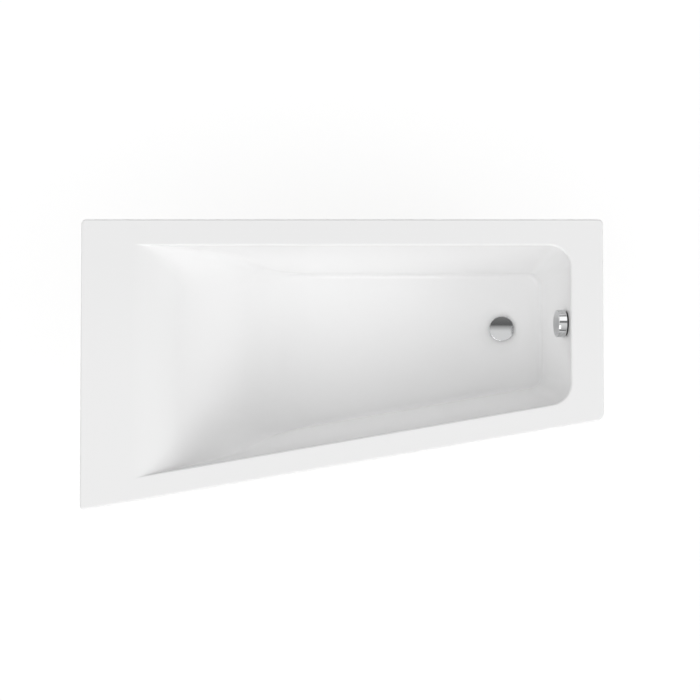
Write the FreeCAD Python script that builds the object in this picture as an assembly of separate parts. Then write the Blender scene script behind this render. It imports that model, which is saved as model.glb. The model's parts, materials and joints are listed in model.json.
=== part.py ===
import FreeCAD, Part
import math
import os

# An asymmetric bathtub for a corner: wide head end, narrow foot end, one slanted side.
# Millimetres. +X runs from the head end to the foot end, +Y points at the wall behind the tub
# and +Z is up. The origin is on the floor under the middle of the rim's outline.

# Rim
LENGTH = 1600.0
HEAD_WIDTH = 890.0
FOOT_WIDTH = 613.0
RIM_HEIGHT = 600.0
WALL = 6.0
LIP_DROP = 40.0
LIP_EDGE = 5.0
RIM_BACK = 75.0
RIM_FRONT = 66.5
RIM_FOOT = 95.5
RIM_HEAD = 158.0
WALL_CORNER = 15.0
HEAD_FRONT_CORNER = 12.0
FOOT_FRONT_CORNER = 24.0

# Basin: drafts are degrees from upright
FLOOR_HEIGHT = 180.0
RIM_ROLL = 5.0
WALL_DRAFT = 7.5
FOOT_DRAFT = 5.0
FLOOR_FILLET = 18.0
CREST_ROLL = 170.0
BACKREST_DRAFT = 38.0
LUMBAR_FILLET = 260.0
FOOT_CORNER = 70.0
HEAD_CORNER = 4.0
FLOOR_CORNER = 40.0
CORNER_SWELL = 100.0
RING_STEP = 0.5
ROLL_TURN_SHARES = (0.5, 0.75, 1.0)
CREST_TURN_SHARES = (0.35, 0.5, 0.65, 0.8, 1.0)
WALL_DEPTH_SHARES = (0.2, 0.28, 0.37, 0.48, 0.6, 0.7)
LUMBAR_TURN_SHARES = (1.0, 0.8, 0.55)
FILLET_TURN_SHARES = (1.0, 0.7, 0.45, 0.22)

# Drain dish in the floor, and the line that drain and overflow share
DRAIN_FROM_FOOT = 267.0
DRAIN_FROM_BACK = 317.0
DISH_RADIUS = 84.0
DISH_DEPTH = 5.0
SEAT_RADIUS = 47.0
WASTE_HOLE = 26.0

# Clearances
OVERRUN = 1.0
TOLERANCE = 0.01
THREAD_CLEARANCE = 0.1
SEAL_CLEARANCE = 0.5
RUNNING_CLEARANCE = 0.05
MOVING_CLEARANCE = 0.4
ROD_CLEARANCE = 0.3
SHELL_CLEARANCE = 0.1

# Base board under the floor, and the battens under the rim
BOARD_THICKNESS = 18.0
BOARD_INSET = 12.0
BOARD_GAP = 24.0
BOARD_TUCK = 110.0
BOARD_CORNER = 25.0
BATTEN_WIDTH = 40.0
BATTEN_HEIGHT = 18.0
BATTEN_GAP = 6.5

# Leg rails, feet and their nuts
RAIL_SETBACK = 50.0
RAIL_WIDTH = 44.0
RAIL_DEPTH = 24.0
RAIL_SHEET = 2.5
RAIL_OVERHANG = 24.0
RAIL_BEND = 3.0
SLOT_WIDTH = 11.0
SLOT_LENGTH = 46.0
SLOT_PLACE_SHARES = (0.3, 0.5, 0.7)
SCREW_PLACE_SHARES = (0.2, 0.4, 0.6, 0.8)
SCREW_RADIUS = 2.25
SCREW_HEAD_RADIUS = 4.6
SCREW_HEAD_HEIGHT = 3.2
SCREW_BITE = 13.0
FOOT_OUTSET = 60.0
ROD_RADIUS = 5.0
ROD_RISE = 58.0
NUT_FLATS = 17.0
NUT_HEIGHT = 8.0
NUT_CHAMFER = 1.2
PAD_RADIUS = 28.0
PAD_EDGE = 6.0
PAD_NECK = 11.0
PAD_HEIGHT = 24.0
PAD_SOCKET = 17.0
PAD_ROUND = 2.0

# Waste fitting
FLANGE_SEAL_HEIGHT = 1.5
FLANGE_RADIUS = 36.0
FLANGE_EDGE = 1.2
FLANGE_HEIGHT = 3.0
SHANK_RADIUS = 24.0
SHANK_BORE = 20.0
SHANK_LENGTH = 30.0
SEAT_BEVEL = 5.0
LOWER_SEAL_HEIGHT = 4.0
LOWER_SEAL_RADIUS = 37.0
BODY_FLANGE_RADIUS = 39.0
BODY_FLANGE_HEIGHT = 5.0
BODY_RADIUS = 32.0
BODY_BORE = 28.0
BODY_HEIGHT = 62.0
BODY_BOTTOM = 4.0
BODY_ROUND = 2.5
PORT_HEIGHT = 26.0
GUIDE_RADIUS = 7.0
GUIDE_DROP = 16.0
GUIDE_RISE = 12.0

# Trap and outlet pipe
DRAIN_PIPE_RADIUS = 20.0
DRAIN_PIPE_BORE = 18.0
OUTLET_REACH = 50.0
TRAP_BEND = 34.0
TRAP_LEAD = 16.0
TRAP_LOW = 34.0
OUTLET_FALL = 4.0
TRAP_END = 30.0
OUTLET_LENGTH = 62.0
COLLAR_RADIUS = 22.0
COLLAR_LENGTH = 2.5
JOINT_SEAL = 2.0
UNION_LENGTH = 24.0
UNION_RADIUS = 26.5
UNION_RIBS = 12
UNION_RIB = 2.2
CLEANING_RADIUS = 13.0
CLEANING_BORE = 10.0
CLEANING_REACH = 27.0
CLEANING_CAP_RADIUS = 16.0
CLEANING_CAP_HEIGHT = 7.0
CLEANING_GRIP_HEIGHT = 5.0
CLEANING_GRIP_WIDTH = 5.0

# Overflow fitting
OVERFLOW_DEPTH = 65.0
OVERFLOW_HOLE = 27.0
OVERFLOW_SEAL_HEIGHT = 5.0
OVERFLOW_SEAL_RADIUS = 39.0
CUP_FLANGE_RADIUS = 40.0
CUP_FLANGE_HEIGHT = 5.0
CUP_RADIUS = 35.0
CUP_BORE = 31.0
CUP_DEPTH = 40.0
CUP_BACK = 4.0
PIPE_RADIUS = 14.0
PIPE_BORE = 12.5
PIPE_BEND = 70.0
SOCKET_RADIUS = 17.0
SOCKET_DEPTH = 18.0
SOCKET_STOP = 8.0
SOCKET_SETBACK = 20.0
BOSS_RADIUS = 4.5
BOSS_ORBIT = 24.5
BOSS_LENGTH = 30.0
TRIM_RADIUS = 38.0
TRIM_HEIGHT = 4.0
TRIM_ROUND = 1.0
TRIM_SLOT_OUTER = 20.0
TRIM_SLOT_INNER = 11.0
TRIM_SPOKES = 3
TRIM_SPOKE_WIDTH = 7.0
HUB_RADIUS = 8.0
HUB_LENGTH = 18.0
TRIM_SCREW_RADIUS = 2.0
TRIM_SCREW_HEAD = 4.0
TRIM_SCREW_HEAD_HEIGHT = 1.6
TRIM_SCREW_LENGTH = 38.0

# Turning knob, its spindle and the cable cam
KNOB_RADIUS = 44.0
KNOB_GAP = 6.0
KNOB_LENGTH = 24.5
KNOB_TAPER = 2.3
KNOB_WALL = 3.0
KNOB_ROUND = 2.0
KNOB_BOSS_RADIUS = 8.0
KNOB_BOSS_LENGTH = 11.0
SPINDLE_RADIUS = 4.0
SPINDLE_COLLAR_RADIUS = 6.5
SPINDLE_COLLAR_LENGTH = 3.0
CAM_RADIUS = 19.0
CAM_LENGTH = 7.0
CAM_GROOVE = 1.5
CAM_BACK_GAP = 2.0

# Cable to the plug lifter
CABLE_RADIUS = 2.5
CABLE_BORE = 1.2
CABLE_BOSS_RADIUS = 5.0
CABLE_BOSS_REACH = 9.0
CABLE_LOW = 24.0
CABLE_BEND = 60.0
CABLE_RISE_SHARE = 0.66
CLIP_WALL = 2.0
CLIP_HEIGHT = 10.0
CLIP_PLACE_SHARES = (0.3, 0.7)

# Plug: cover, stem, seal, and the pin that lifts it; the cover's slope is degrees from level
PIN_RADIUS = 3.0
PIN_LENGTH = 44.0
PIN_INSET = 3.0
STEM_RADIUS = 5.0
FIN_COUNT = 3
FIN_WIDTH = 2.0
FIN_HEIGHT = 14.0
FIN_DROP = 12.0
COVER_RADIUS = 42.0
COVER_GAP = 1.5
COVER_EDGE = 2.2
COVER_SHOULDER = 2.0
COVER_SLOPE = 8.0
COVER_RECESS = 1.4
COVER_BORDER = 3.0
PLUG_SEAL_RADIUS = 26.0
PLUG_SEAL_BORE = 15.0
PLUG_SEAL_HEIGHT = 4.5

FULL_TURN = 360.0
QUARTER_TURN = 90.0
HEX_SIDES = 6

# Derived places: the back edge is as far from the origin as the rounded front corner of the head end
FRONT_SLOPE = (HEAD_WIDTH - FOOT_WIDTH) / LENGTH
FRONT_ROUNDING = HEAD_FRONT_CORNER * (FRONT_SLOPE + math.hypot(1, FRONT_SLOPE) - 1)
BACK_Y = (HEAD_WIDTH - FRONT_ROUNDING) / 2
BASIN_DEPTH = RIM_HEIGHT - FLOOR_HEIGHT
SEAT_Z = FLOOR_HEIGHT - DISH_DEPTH
DRAIN_X = LENGTH / 2 - DRAIN_FROM_FOOT
DRAIN_Y = BACK_Y - DRAIN_FROM_BACK
FLANGE_Z = SEAT_Z + FLANGE_SEAL_HEIGHT
FLANGE_TOP = FLANGE_Z + FLANGE_HEIGHT
BODY_TOP = SEAT_Z - WALL - LOWER_SEAL_HEIGHT
BODY_BASE = BODY_TOP - BODY_HEIGHT
PORT_Z = BODY_BASE + PORT_HEIGHT
FLOOR_BACK = FLOOR_HEIGHT - WALL
BOARD_TOP = FLOOR_BACK - SHELL_CLEARANCE
RAIL_TOP = BOARD_TOP - BOARD_THICKNESS
WALL_BACK = -WALL - SHELL_CLEARANCE
CUP_FRONT = WALL_BACK - OVERFLOW_SEAL_HEIGHT
TRIM_FRONT = SHELL_CLEARANCE + TRIM_HEIGHT
CUP_END = CUP_FRONT - CUP_DEPTH
SOCKET_AXIS = CUP_FRONT - SOCKET_SETBACK
SOCKET_REACH = CUP_RADIUS + SOCKET_STOP + SOCKET_DEPTH
CAM_START = CUP_END + CUP_BACK + CAM_BACK_GAP
CABLE_OFFSET = CAM_RADIUS - CAM_GROOVE
CABLE_AXIS = CAM_START + CAM_LENGTH / 2
KNOB_FRONT = KNOB_GAP + KNOB_LENGTH


def vec(x, y, z=0.0):
    return FreeCAD.Vector(x, y, z)


def cylinder(radius, low, high, x=0.0, y=0.0):
    return Part.makeCylinder(radius, high - low, vec(x, y, low))


def washer(outer, bore, low, high, x=0.0, y=0.0):
    return cylinder(outer, low, high, x, y).cut(cylinder(bore, low, high, x, y))


def rod_between(radius, start, end):
    return Part.makeCylinder(radius, (end - start).Length, start, end - start)


def revolved(points, x=0.0, y=0.0):
    """A profile of (radius, height) points turned about an upright axis."""
    corners = [vec(x + radius, y, height) for radius, height in points]
    face = Part.Face(Part.makePolygon(corners + corners[:1]))
    return face.revolve(vec(x, y), vec(0, 0, 1), FULL_TURN)


def box_between(low, high):
    size = high - low
    return Part.makeBox(size.x, size.y, size.z, low)


def fused(shapes):
    return shapes[0].multiFuse(shapes[1:]).removeSplitter()


def front_line(x, inset):
    """Y of the slanted front edge, moved into the tub by an inset."""
    return BACK_Y - HEAD_WIDTH + (x + LENGTH / 2) * FRONT_SLOPE + inset * math.hypot(1, FRONT_SLOPE)


def plan_corners(back, foot, front, head):
    """The four plan corners with each side moved in: head front, foot front, foot back, head back."""
    head_x = head - LENGTH / 2
    foot_x = LENGTH / 2 - foot
    back_y = BACK_Y - back
    return [
        vec(head_x, front_line(head_x, front)),
        vec(foot_x, front_line(foot_x, front)),
        vec(foot_x, back_y),
        vec(head_x, back_y),
    ]


def rounded_outline(corners, radii, height):
    """A closed level wire of straight sides and one arc at each corner."""
    lift = vec(0, 0, height)
    arcs = []
    for index, (corner, radius) in enumerate(zip(corners, radii)):
        before = (corners[index - 1] - corner).normalize()
        after = (corners[(index + 1) % len(corners)] - corner).normalize()
        half = before.getAngle(after) / 2
        middle = (before + after).normalize() * (radius / math.sin(half) - radius)
        reach = radius / math.tan(half)
        arcs.append([corner + step + lift for step in (before * reach, middle, after * reach)])
    edges = []
    for index, arc in enumerate(arcs):
        edges.append(Part.Arc(*arc).toShape())
        edges.append(Part.LineSegment(arc[-1], arcs[(index + 1) % len(arcs)][0]).toShape())
    return Part.Wire(edges)


def bent_path(points, bends):
    """Straight runs joined by tangent arcs, one bend radius for each inner point."""
    edges = []
    start = points[0]
    for before, corner, after, bend in zip(points, points[1:], points[2:], bends):
        back = (before - corner).normalize()
        ahead = (after - corner).normalize()
        half = back.getAngle(ahead) / 2
        middle = corner + (back + ahead).normalize() * (bend / math.sin(half) - bend)
        enter = corner + back * (bend / math.tan(half))
        leave = corner + ahead * (bend / math.tan(half))
        if (enter - start).Length > TOLERANCE:
            edges.append(Part.LineSegment(start, enter).toShape())
        edges.append(Part.Arc(enter, middle, leave).toShape())
        start = leave
    edges.append(Part.LineSegment(start, points[-1]).toShape())
    return Part.Wire(edges)


def rod_along(path, radius):
    first = path.Edges[0]
    start = first.valueAt(first.FirstParameter)
    circle = Part.Circle(start, first.tangentAt(first.FirstParameter), radius)
    return path.makePipeShell([Part.Wire(circle.toShape())], True, False)


def wall_run(depth, offset, roll, draft, fillet):
    """How far a basin wall has run in from the rim at a depth.

    The wall leaves the rim in a roll, goes down straight at its draft and meets the floor in a
    fillet. An offset gives the outer face of the shell, that far behind the inner one.
    """
    lean = math.radians(draft)
    roll_radius = max(roll - offset, 0)
    if depth < roll - roll_radius * math.sin(lean):
        return math.sqrt(max(roll_radius ** 2 - (roll - depth) ** 2, 0))
    fillet_radius = fillet + offset
    centre = BASIN_DEPTH - fillet
    turn = centre + fillet_radius * math.sin(lean)
    straight = min(depth, turn) - roll * (1 - math.sin(lean))
    run = roll * math.cos(lean) + straight * math.tan(lean) - offset / math.cos(lean)
    if depth > turn:
        rest = max(fillet_radius ** 2 - (depth - centre) ** 2, 0)
        run += fillet_radius * math.cos(lean) - math.sqrt(rest)
    return run


def side_run(depth, offset=0.0):
    return wall_run(depth, offset, RIM_ROLL, WALL_DRAFT, FLOOR_FILLET)


def foot_run(depth, offset=0.0):
    return wall_run(depth, offset, RIM_ROLL, FOOT_DRAFT, FLOOR_FILLET)


def backrest_run(depth, offset=0.0):
    return wall_run(depth, offset, CREST_ROLL, BACKREST_DRAFT, LUMBAR_FILLET)


def basin_ring(depth, offset):
    """The basin's level outline at a depth.

    The head corners are sharp at the rim, swell wide a third of the way down and draw in again
    at the floor.
    """
    side = side_run(depth, offset)
    foot = foot_run(depth, offset)
    head = backrest_run(depth, offset)
    corners = plan_corners(RIM_BACK + side, RIM_FOOT + foot, RIM_FRONT + side, RIM_HEAD + head)
    sunk = max(depth - offset, 0) / BASIN_DEPTH
    swell = CORNER_SWELL * sunk * (1 - sunk) ** 2 * 27 / 4
    head_radius = HEAD_CORNER + (FLOOR_CORNER - HEAD_CORNER) * sunk + swell + offset
    foot_radius = FOOT_CORNER + (FLOOR_CORNER - FOOT_CORNER) * sunk + offset
    radii = (head_radius, foot_radius, foot_radius, head_radius)
    return rounded_outline(corners, radii, RIM_HEIGHT - depth)


def ring_depths(offset):
    """Depths of the basin's rings, closer together where a wall turns."""
    wall_turn = math.radians(QUARTER_TURN - WALL_DRAFT)
    back_turn = math.radians(QUARTER_TURN - BACKREST_DRAFT)
    depths = [share * BASIN_DEPTH for share in WALL_DEPTH_SHARES]
    for roll, turn, shares in ((RIM_ROLL, wall_turn, ROLL_TURN_SHARES),
                               (CREST_ROLL, back_turn, CREST_TURN_SHARES)):
        depths += [roll - max(roll - offset, 0) * math.cos(turn * share) for share in shares]
    for fillet, turn, shares in ((FLOOR_FILLET, wall_turn, FILLET_TURN_SHARES),
                                 (LUMBAR_FILLET, back_turn, LUMBAR_TURN_SHARES)):
        centre = BASIN_DEPTH - fillet
        depths += [centre + (fillet + offset) * math.cos(turn * share) for share in shares]
    floor = BASIN_DEPTH + offset
    kept = [offset]
    for depth in sorted(depths):
        if kept[-1] + RING_STEP < depth < floor - RING_STEP:
            kept.append(depth)
    return kept + [floor]


def rim_outline(inset, height):
    radii = (HEAD_FRONT_CORNER, FOOT_FRONT_CORNER, WALL_CORNER, WALL_CORNER)
    corners = plan_corners(inset, inset, inset, inset)
    return rounded_outline(corners, [radius - inset for radius in radii], height)


def ring_face(outer, inner):
    return Part.makeFace([outer, inner], "Part::FaceMakerBullseye")


def tub_shell():
    """Rim, down-turned lip and basin as one moulded sheet of even thickness."""
    inside = [basin_ring(depth, 0.0) for depth in ring_depths(0.0)]
    outside = [basin_ring(depth, WALL) for depth in ring_depths(WALL)]
    lip_z = RIM_HEIGHT - LIP_DROP
    under_z = RIM_HEIGHT - WALL
    faces = [
        ring_face(rim_outline(0.0, RIM_HEIGHT), inside[0]),
        ring_face(rim_outline(WALL, under_z), outside[0]),
        ring_face(rim_outline(0.0, lip_z), rim_outline(WALL, lip_z)),
        Part.Face(inside[-1]),
        Part.Face(outside[-1]),
    ]
    faces += rim_outline(0.0, lip_z).extrude(vec(0, 0, LIP_DROP)).Faces
    faces += rim_outline(WALL, lip_z).extrude(vec(0, 0, LIP_DROP - WALL)).Faces
    for rings in (inside, outside):
        faces += Part.makeLoft(rings, False, False).Faces
    shell = Part.Solid(Part.Shell(faces))
    mid_floor = FLOOR_HEIGHT - WALL / 2
    dish_back = revolved([(0, SEAT_Z - WALL), (SEAT_RADIUS, SEAT_Z - WALL), (DISH_RADIUS, FLOOR_BACK),
                          (DISH_RADIUS, mid_floor), (0, mid_floor)], DRAIN_X, DRAIN_Y)
    dish = revolved([(0, SEAT_Z), (SEAT_RADIUS, SEAT_Z), (DISH_RADIUS, FLOOR_HEIGHT),
                     (DISH_RADIUS, FLOOR_HEIGHT + OVERRUN), (0, FLOOR_HEIGHT + OVERRUN)], DRAIN_X, DRAIN_Y)
    waste_hole = cylinder(WASTE_HOLE, SEAT_Z - WALL - OVERRUN, FLOOR_HEIGHT, DRAIN_X, DRAIN_Y)
    overflow_hole = on_foot_wall(cylinder(OVERFLOW_HOLE, -WALL - OVERRUN, OVERRUN))
    shell = shell.fuse(dish_back).cut(dish).cut(waste_hole).cut(overflow_hole).Solids[0]
    rim = rim_outline(0.0, RIM_HEIGHT)
    lip_edges = []
    for edge in shell.Edges:
        middle = edge.valueAt((edge.FirstParameter + edge.LastParameter) / 2)
        if rim.distToShape(Part.Vertex(middle))[0] < TOLERANCE:
            lip_edges.append(edge)
    return shell.makeFillet(LIP_EDGE, lip_edges)


def foot_wall_place():
    """Where the overflow sits: local X down the wall, local Z square to it into the basin."""
    lean = math.radians(FOOT_DRAFT)
    down = vec(-math.sin(lean), 0, -math.cos(lean))
    inward = vec(-math.cos(lean), 0, math.sin(lean))
    across = inward.cross(down)
    origin = vec(LENGTH / 2 - RIM_FOOT - foot_run(OVERFLOW_DEPTH), DRAIN_Y, RIM_HEIGHT - OVERFLOW_DEPTH)
    matrix = FreeCAD.Matrix(down.x, across.x, inward.x, origin.x,
                            down.y, across.y, inward.y, origin.y,
                            down.z, across.z, inward.z, origin.z)
    return FreeCAD.Placement(matrix)


def on_foot_wall(shape):
    placed = shape.copy()
    placed.Placement = foot_wall_place().multiply(placed.Placement)
    return placed


def base_board():
    """Chipboard under the floor and the foot of the backrest, with pilot holes for the rail screws."""
    board = Part.Face(rounded_outline(board_corners(), [BOARD_CORNER] * 4, RAIL_TOP))
    board = board.extrude(vec(0, 0, BOARD_THICKNESS))
    pilots = [cylinder(SCREW_RADIUS, RAIL_TOP, RAIL_TOP + SCREW_BITE, x, y)
              for rail_x in rail_places() for x, y in screw_places(rail_x)]
    return board.cut(Part.makeCompound(pilots))


def board_corners():
    floor_side = side_run(BASIN_DEPTH) + BOARD_INSET
    foot = DRAIN_FROM_FOOT + DISH_RADIUS + BOARD_GAP
    head = RIM_HEAD + backrest_run(BASIN_DEPTH) - BOARD_TUCK
    return plan_corners(RIM_BACK + floor_side, foot, RIM_FRONT + floor_side, head)


def rim_battens():
    """Four mitred strips that stiffen the rim from below."""
    near = WALL + BATTEN_GAP
    far = near + BATTEN_WIDTH
    outer = plan_corners(near, near, near, near)
    inner = plan_corners(far, far, far, far)
    top = vec(0, 0, RIM_HEIGHT - WALL - BATTEN_HEIGHT)
    battens = {}
    for index, side in enumerate(("front", "foot", "back", "head")):
        after = (index + 1) % len(outer)
        loop = [outer[index], outer[after], inner[after], inner[index], outer[index]]
        face = Part.Face(Part.makePolygon([corner + top for corner in loop]))
        battens["rim_batten_" + side] = face.extrude(vec(0, 0, BATTEN_HEIGHT))
    return battens


def rail_places():
    """X of the head rail and of the foot rail, set back from the board's two ends."""
    corners = board_corners()
    return corners[0].x + RAIL_SETBACK, corners[1].x - RAIL_SETBACK


def foot_places(rail_x):
    """Y of the front foot and of the back foot, outside the basin's walls."""
    floor_side = side_run(BASIN_DEPTH)
    front = front_line(rail_x, RIM_FRONT + floor_side) - FOOT_OUTSET
    back = BACK_Y - RIM_BACK - floor_side + FOOT_OUTSET
    return front, back


def screw_places(rail_x):
    corners = board_corners()
    low = front_line(rail_x, RIM_FRONT + side_run(BASIN_DEPTH) + BOARD_INSET)
    high = corners[-1].y
    places = []
    for index, share in enumerate(SCREW_PLACE_SHARES):
        side = RAIL_WIDTH / 4 if index % 2 else -RAIL_WIDTH / 4
        places.append((rail_x + side, low + share * (high - low)))
    return places


def leg_rail(rail_x):
    """A folded steel channel, open downwards, with slots, screw holes and a hole for each rod."""
    front, back = foot_places(rail_x)
    start = front - RAIL_OVERHANG
    length = back + RAIL_OVERHANG - start
    half = RAIL_WIDTH / 2
    solid = Part.makeBox(RAIL_WIDTH, length, RAIL_DEPTH, vec(rail_x - half, start, RAIL_TOP - RAIL_DEPTH))
    long_edges = [edge for edge in solid.Edges
                  if abs(edge.BoundBox.YLength - length) < TOLERANCE
                  and edge.BoundBox.ZMin > RAIL_TOP - TOLERANCE]
    solid = solid.makeFillet(RAIL_BEND, long_edges)
    inner = half - RAIL_SHEET
    inside_low = vec(rail_x - inner, start - OVERRUN, RAIL_TOP - RAIL_DEPTH - OVERRUN)
    inside_high = vec(rail_x + inner, start + length + OVERRUN, RAIL_TOP - RAIL_SHEET)
    cuts = [box_between(inside_low, inside_high)]
    sheet_low = RAIL_TOP - RAIL_SHEET - OVERRUN
    sheet_high = RAIL_TOP + OVERRUN
    for share in SLOT_PLACE_SHARES:
        middle = start + share * length
        reach = (SLOT_LENGTH - SLOT_WIDTH) / 2
        cuts.append(box_between(vec(rail_x - SLOT_WIDTH / 2, middle - reach, sheet_low),
                                vec(rail_x + SLOT_WIDTH / 2, middle + reach, sheet_high)))
        for end in (middle - reach, middle + reach):
            cuts.append(cylinder(SLOT_WIDTH / 2, sheet_low, sheet_high, rail_x, end))
    for x, y in screw_places(rail_x):
        cuts.append(cylinder(SCREW_RADIUS + THREAD_CLEARANCE, sheet_low, sheet_high, x, y))
    for y in (front, back):
        cuts.append(cylinder(ROD_RADIUS + ROD_CLEARANCE, sheet_low, sheet_high, rail_x, y))
    return solid.cut(fused(cuts))


def rail_screw(x, y):
    head_top = RAIL_TOP - RAIL_SHEET
    head_low = head_top - SCREW_HEAD_HEIGHT
    point = RAIL_TOP + SCREW_BITE
    return revolved([(0, head_low), (SCREW_RADIUS, head_low), (SCREW_HEAD_RADIUS, head_top),
                     (SCREW_RADIUS, head_top), (SCREW_RADIUS, point - SCREW_RADIUS), (0, point)], x, y)


def nut(bore, low, x, y):
    """A hexagon nut with both faces chamfered."""
    corner = NUT_FLATS / 2 / math.cos(math.pi / HEX_SIDES)
    turn = 2 * math.pi / HEX_SIDES
    points = [vec(x + corner * math.cos(turn * side), y + corner * math.sin(turn * side), low)
              for side in range(HEX_SIDES + 1)]
    prism = Part.Face(Part.makePolygon(points)).extrude(vec(0, 0, NUT_HEIGHT))
    high = low + NUT_HEIGHT
    flat = corner - NUT_CHAMFER
    barrel = revolved([(bore, low), (flat, low), (corner, low + NUT_CHAMFER),
                       (corner, high - NUT_CHAMFER), (flat, high), (bore, high)], x, y)
    return prism.common(barrel)


def foot_rod(x, y):
    """A threaded rod, chamfered at its top, that stands in the pad's socket."""
    low = PAD_HEIGHT - PAD_SOCKET
    high = RAIL_TOP + ROD_RISE
    chamfer = ROD_RADIUS / 4
    return revolved([(0, low), (ROD_RADIUS, low), (ROD_RADIUS, high - chamfer),
                     (ROD_RADIUS - chamfer, high), (0, high)], x, y)


def foot_pad(x, y):
    """A moulded pad: broad round sole, cone and neck with a socket for the rod."""
    socket_z = PAD_HEIGHT - PAD_SOCKET
    cone_z = (PAD_EDGE + PAD_HEIGHT) / 2
    return revolved([(0, 0), (PAD_RADIUS - PAD_ROUND, 0), (PAD_RADIUS, PAD_ROUND),
                     (PAD_RADIUS, PAD_EDGE - PAD_ROUND), (PAD_RADIUS - PAD_ROUND, PAD_EDGE),
                     (PAD_NECK, cone_z), (PAD_NECK, PAD_HEIGHT - PAD_ROUND),
                     (PAD_NECK - PAD_ROUND, PAD_HEIGHT), (ROD_RADIUS, PAD_HEIGHT),
                     (ROD_RADIUS, socket_z), (0, socket_z)], x, y)


def waste_flange():
    """The polished flange in the dish, with a bevelled seat and a threaded shank."""
    low = FLANGE_Z - SHANK_LENGTH
    return revolved([(SHANK_BORE, low), (SHANK_RADIUS, low), (SHANK_RADIUS, FLANGE_Z),
                     (FLANGE_RADIUS, FLANGE_Z), (FLANGE_RADIUS, FLANGE_Z + FLANGE_EDGE),
                     (SHANK_BORE + SEAT_BEVEL, FLANGE_TOP), (SHANK_BORE, FLANGE_TOP - SEAT_BEVEL)],
                    DRAIN_X, DRAIN_Y)


def waste_body():
    """The moulded body under the floor: cup, overflow socket, outlet spigot and pin guide."""
    middle = vec(DRAIN_X, DRAIN_Y, PORT_Z)
    inlet = middle + vec(BODY_RADIUS + SOCKET_STOP + SOCKET_DEPTH, 0)
    stop = inlet - vec(SOCKET_DEPTH, 0)
    outlet = middle + vec(0, OUTLET_REACH)
    guide_low = BODY_BASE - GUIDE_DROP
    guide_high = BODY_BASE + BODY_BOTTOM + GUIDE_RISE
    flange_low = BODY_TOP - BODY_FLANGE_HEIGHT
    outer = revolved([(0, BODY_BASE), (BODY_RADIUS - BODY_ROUND, BODY_BASE),
                      (BODY_RADIUS, BODY_BASE + BODY_ROUND), (BODY_RADIUS, flange_low),
                      (BODY_FLANGE_RADIUS, flange_low), (BODY_FLANGE_RADIUS, BODY_TOP), (0, BODY_TOP)],
                     DRAIN_X, DRAIN_Y)
    thread_end = FLANGE_Z - SHANK_LENGTH - SEAL_CLEARANCE
    thread = SHANK_RADIUS + THREAD_CLEARANCE
    cavity = revolved([(0, BODY_BASE + BODY_BOTTOM), (BODY_BORE, BODY_BASE + BODY_BOTTOM),
                       (BODY_BORE, thread_end - BODY_BOTTOM), (thread, thread_end),
                       (thread, BODY_TOP), (0, BODY_TOP)], DRAIN_X, DRAIN_Y)
    guide = cylinder(GUIDE_RADIUS, guide_low, guide_high, DRAIN_X, DRAIN_Y)
    bore = cylinder(PIN_RADIUS + RUNNING_CLEARANCE, guide_low, guide_high, DRAIN_X, DRAIN_Y)
    ports = [rod_between(SOCKET_RADIUS, middle, inlet), rod_between(DRAIN_PIPE_RADIUS, middle, outlet)]
    bores = [rod_between(PIPE_BORE, middle, stop), rod_between(PIPE_RADIUS, stop, inlet),
             rod_between(DRAIN_PIPE_BORE, middle, outlet)]
    body = fused([outer] + ports).cut(fused([cavity] + bores))
    return fused([body, guide]).cut(bore)


def trap_points():
    """Centre line of the trap: out of the body, down, round, up and level towards the wall."""
    start = DRAIN_Y + OUTLET_REACH + JOINT_SEAL
    down = start + TRAP_LEAD + TRAP_BEND
    up = down + 2 * TRAP_BEND
    out_z = PORT_Z - OUTLET_FALL
    places = ((start, PORT_Z), (down, PORT_Z), (down, TRAP_LOW), (up, TRAP_LOW), (up, out_z),
              (up + TRAP_BEND + TRAP_END, out_z))
    return [vec(DRAIN_X, y, z) for y, z in places]


def trap_bend():
    """One moulded bend that holds the water seal, with a boss for the cleaning plug."""
    points = trap_points()
    path = bent_path(points, [TRAP_BEND] * 4)
    bottom = (points[2] + points[3]) / 2
    boss_end = bottom - vec(CLEANING_REACH, 0)
    outer = rod_along(path, DRAIN_PIPE_RADIUS).fuse(rod_between(CLEANING_RADIUS, bottom, boss_end))
    inner = rod_along(path, DRAIN_PIPE_BORE).fuse(rod_between(CLEANING_BORE, bottom, boss_end))
    return outer.cut(inner)


def cleaning_plug():
    points = trap_points()
    bottom = (points[2] + points[3]) / 2
    seat = bottom - vec(CLEANING_REACH, 0)
    cap_end = seat - vec(CLEANING_CAP_HEIGHT, 0)
    spigot_end = seat + vec(CLEANING_CAP_HEIGHT, 0)
    half = CLEANING_GRIP_WIDTH / 2
    reach = CLEANING_CAP_RADIUS * math.sqrt(3) / 2
    grip = box_between(cap_end - vec(CLEANING_GRIP_HEIGHT, reach, half), cap_end + vec(0, reach, half))
    return fused([rod_between(CLEANING_CAP_RADIUS, seat, cap_end),
                  rod_between(CLEANING_BORE - THREAD_CLEARANCE, seat, spigot_end), grip])


def union_nut(middle):
    """A ribbed hand nut along Y over the joint of two drain pipes."""
    half = vec(0, UNION_LENGTH / 2)
    start = middle - half
    end = middle + half
    shapes = [rod_between(UNION_RADIUS, start, end)]
    for index in range(UNION_RIBS):
        turn = 2 * math.pi * index / UNION_RIBS
        side = vec(math.cos(turn) * UNION_RADIUS, 0, math.sin(turn) * UNION_RADIUS)
        shapes.append(rod_between(UNION_RIB, start + side, end + side))
    return fused(shapes).cut(rod_between(DRAIN_PIPE_RADIUS + THREAD_CLEARANCE, start, end))


def pipe_ring(start):
    """A flat seal between the ends of two drain pipes."""
    end = start + vec(0, JOINT_SEAL)
    return rod_between(DRAIN_PIPE_RADIUS, start, end).cut(rod_between(DRAIN_PIPE_BORE, start, end))


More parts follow.
